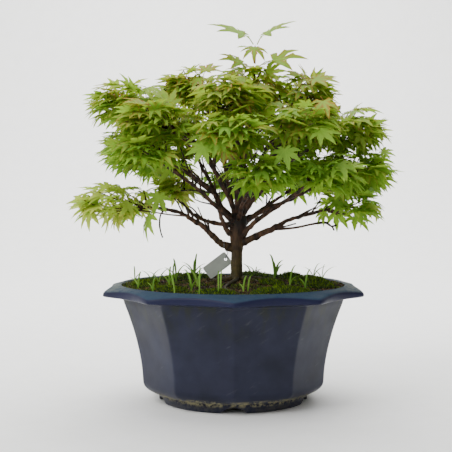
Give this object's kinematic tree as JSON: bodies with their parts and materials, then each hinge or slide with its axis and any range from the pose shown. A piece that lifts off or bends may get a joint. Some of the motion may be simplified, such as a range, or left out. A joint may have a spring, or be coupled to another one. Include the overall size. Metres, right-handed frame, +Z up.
{
  "type": "potted bonsai tree",
  "caption": "Small maple bonsai with a straight trunk and a wide leafy crown, standing in mossy soil in a dark glazed many-sided pot with a flared scalloped lip and a footed base",
  "frame": {"origin": "middle of the pot's footprint, on the surface that the pot stands on; also the bottom centre of the bounding box", "axes": "+Z up along the trunk and longest; the tree's front, as shown, faces -Y; +X is to the right of a viewer who faces the front, and the crown is widest along X"},
  "size_m": [0.42, 0.352, 0.4959],
  "materials": {
    "glaze": "semi-gloss dark blue glaze",
    "soil": "moist loose growing mix",
    "moss": "short soft moss",
    "bark": "rough bark",
    "maple_leaf": "thin translucent leaves",
    "grass": "thin blades",
    "label_plastic": "translucent grey-green plastic",
    "wire": "dull wire",
    "mesh_plastic": "black plastic screen"
  },
  "bodies": {
    "root": {"apex_shoot": "bark", "drainage_mesh": "mesh_plastic", "grass_beside_label": "grass", "grass_broad": "grass", "grass_far_right": "grass", "grass_front": "grass", "grass_front_right": "grass", "grass_left": "grass", "grass_left_back": "grass", "grass_left_edge": "grass", "grass_left_front": "grass", "grass_middle_left": "grass", "grass_right": "grass", "grass_right_edge": "grass", "label": "label_plastic", "label_wire": "wire", "leaf_top_back": "maple_leaf", "leaf_top_front": "maple_leaf", "leaf_top_left": "maple_leaf", "leaf_top_right": "maple_leaf", "leaves_low_left": "maple_leaf", "leaves_low_left_inner": "maple_leaf", "leaves_low_right": "maple_leaf", "leaves_middle_back": "maple_leaf", "leaves_middle_front": "maple_leaf", "leaves_middle_left": "maple_leaf", "leaves_middle_left_back": "maple_leaf", "leaves_middle_left_front": "maple_leaf", "leaves_middle_right": "maple_leaf", "leaves_middle_right_back": "maple_leaf", "leaves_middle_right_front": "maple_leaf", "leaves_top": "maple_leaf", "leaves_top_back": "maple_leaf", "leaves_top_front": "maple_leaf", "leaves_top_left": "maple_leaf", "leaves_top_right": "maple_leaf", "leaves_upper_back": "maple_leaf", "leaves_upper_front": "maple_leaf", "leaves_upper_left": "maple_leaf", "leaves_upper_left_back": "maple_leaf", "leaves_upper_left_front": "maple_leaf", "leaves_upper_right": "maple_leaf", "leaves_upper_right_back": "maple_leaf", "leaves_upper_right_front": "maple_leaf", "mesh_clip": "wire", "moss_back": "moss", "moss_back_left": "moss", "moss_back_right": "moss", "moss_beside_trunk": "moss", "moss_front": "moss", "moss_front_left": "moss", "moss_front_right": "moss", "moss_left": "moss", "moss_right": "moss", "pot": "glaze", "soil": "soil", "trunk_and_branches": "bark"}
  },
  "joints": []
}
